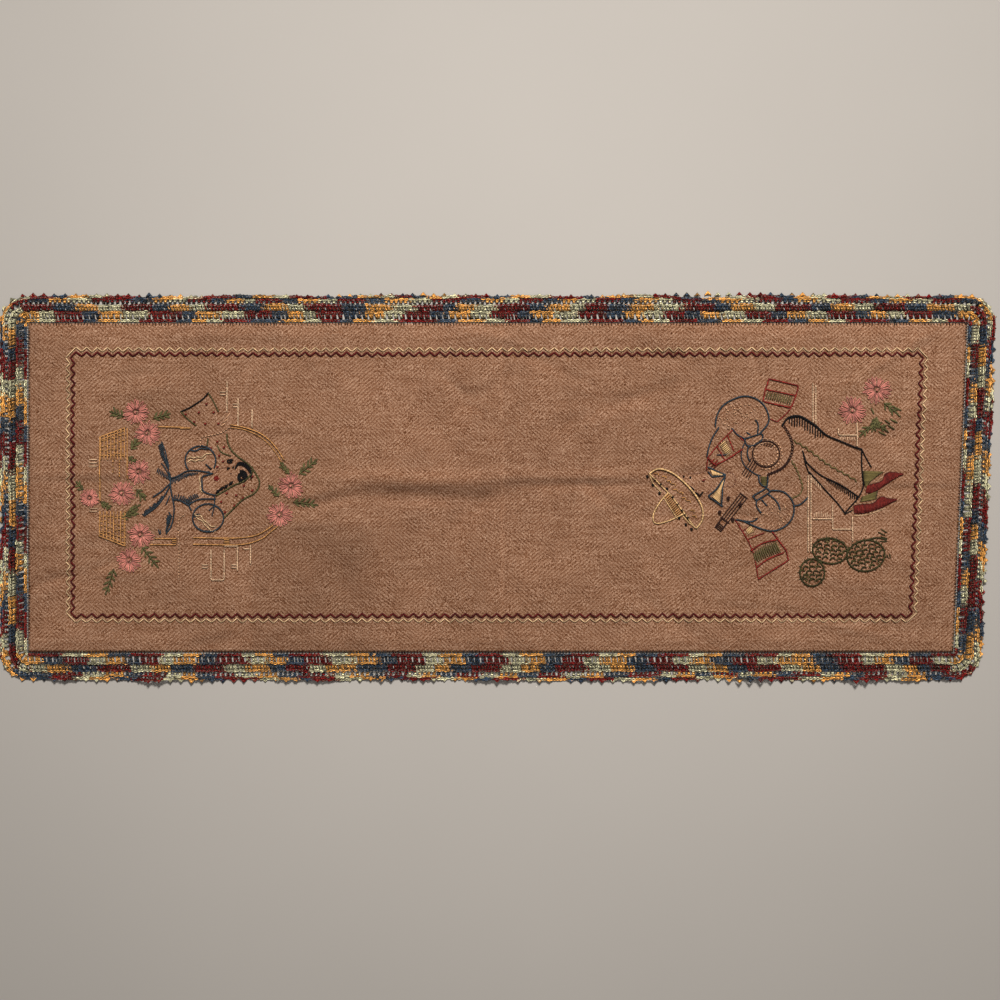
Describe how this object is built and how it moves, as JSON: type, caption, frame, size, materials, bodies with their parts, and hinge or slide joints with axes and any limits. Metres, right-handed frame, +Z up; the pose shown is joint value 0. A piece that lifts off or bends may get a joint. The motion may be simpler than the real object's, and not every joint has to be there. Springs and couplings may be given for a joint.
{
  "type": "table runner",
  "caption": "Flat rectangular embroidered table runner with a twill ground cloth, crocheted picot edging, stitched zigzag frame and folk motifs at both ends.",
  "frame": {"origin": "middle of the runner's outline, on the face that lies on the table", "axes": "+X along the runner's length, with the slanted end at +X; +Y across its width, towards the back edge; +Z up out of the embroidered face"},
  "size_m": [1.0645, 0.4146, 0.0018],
  "materials": {
    "ground_twill": "matte twill weave, tan",
    "variegated_yarn": "matte mercerised crochet cotton, variegated burgundy, navy, gold and sage",
    "cream_thread": "stranded cotton, soft sheen",
    "burgundy_thread": "stranded cotton, soft sheen",
    "pink_thread": "stranded cotton, soft sheen",
    "leaf_thread": "stranded cotton, soft sheen",
    "gold_thread": "stranded cotton, soft sheen",
    "navy_thread": "stranded cotton, soft sheen",
    "black_thread": "stranded cotton, soft sheen",
    "green_thread": "stranded cotton, soft sheen",
    "white_thread": "stranded cotton, soft sheen",
    "brown_thread": "stranded cotton, soft sheen",
    "red_thread": "stranded cotton, soft sheen",
    "cactus_thread": "stranded cotton, soft sheen",
    "olive_thread": "stranded cotton, soft sheen"
  },
  "bodies": {
    "root": {"arch_curve_back": "gold_thread", "arch_curve_front": "gold_thread", "arch_line_back": "gold_thread", "balcony_back_rail": "gold_thread", "balcony_front_rail": "gold_thread", "burgundy_zigzag": "burgundy_thread", "cactus": "cactus_thread", "cream_zigzag": "cream_thread", "dress": "navy_thread", "dress_sleeve_back": "navy_thread", "dress_sleeve_front": "navy_thread", "fan_edge": "green_thread", "ground_cloth": "ground_twill", "guitar_neck": "brown_thread", "guitar_ring": "brown_thread", "guitar_side": "brown_thread", "hair": "black_thread", "hat": "gold_thread", "inner_mesh_round": "variegated_yarn", "leaf_sprig_1": "leaf_thread", "leaf_sprig_10": "leaf_thread", "leaf_sprig_11": "leaf_thread", "leaf_sprig_2": "leaf_thread", "leaf_sprig_3": "leaf_thread", "leaf_sprig_4": "leaf_thread", "leaf_sprig_5": "leaf_thread", "leaf_sprig_6": "leaf_thread", "leaf_sprig_7": "leaf_thread", "leaf_sprig_8": "leaf_thread", "leaf_sprig_9": "leaf_thread", "neck_scarf": "navy_thread", "outer_mesh_round": "variegated_yarn", "picot_round": "variegated_yarn", "pink_flower_1": "pink_thread", "pink_flower_10": "pink_thread", "pink_flower_11": "pink_thread", "pink_flower_2": "pink_thread", "pink_flower_3": "pink_thread", "pink_flower_4": "pink_thread", "pink_flower_5": "pink_thread", "pink_flower_6": "pink_thread", "pink_flower_7": "pink_thread", "pink_flower_8": "pink_thread", "pink_flower_9": "pink_thread", "serape_end_back": "red_thread", "serape_end_front": "red_thread", "serape_end_neck": "red_thread", "shawl_edge": "green_thread", "shirt_sleeve_back": "navy_thread", "shirt_sleeve_front": "navy_thread", "shoe_back": "red_thread", "shoe_front": "red_thread", "single_crochet_round": "variegated_yarn", "step_front": "gold_thread", "treble_round": "variegated_yarn", "trouser_stripe": "olive_thread", "trousers": "black_thread", "window_line_left": "white_thread", "window_line_right": "white_thread"}
  },
  "joints": []
}
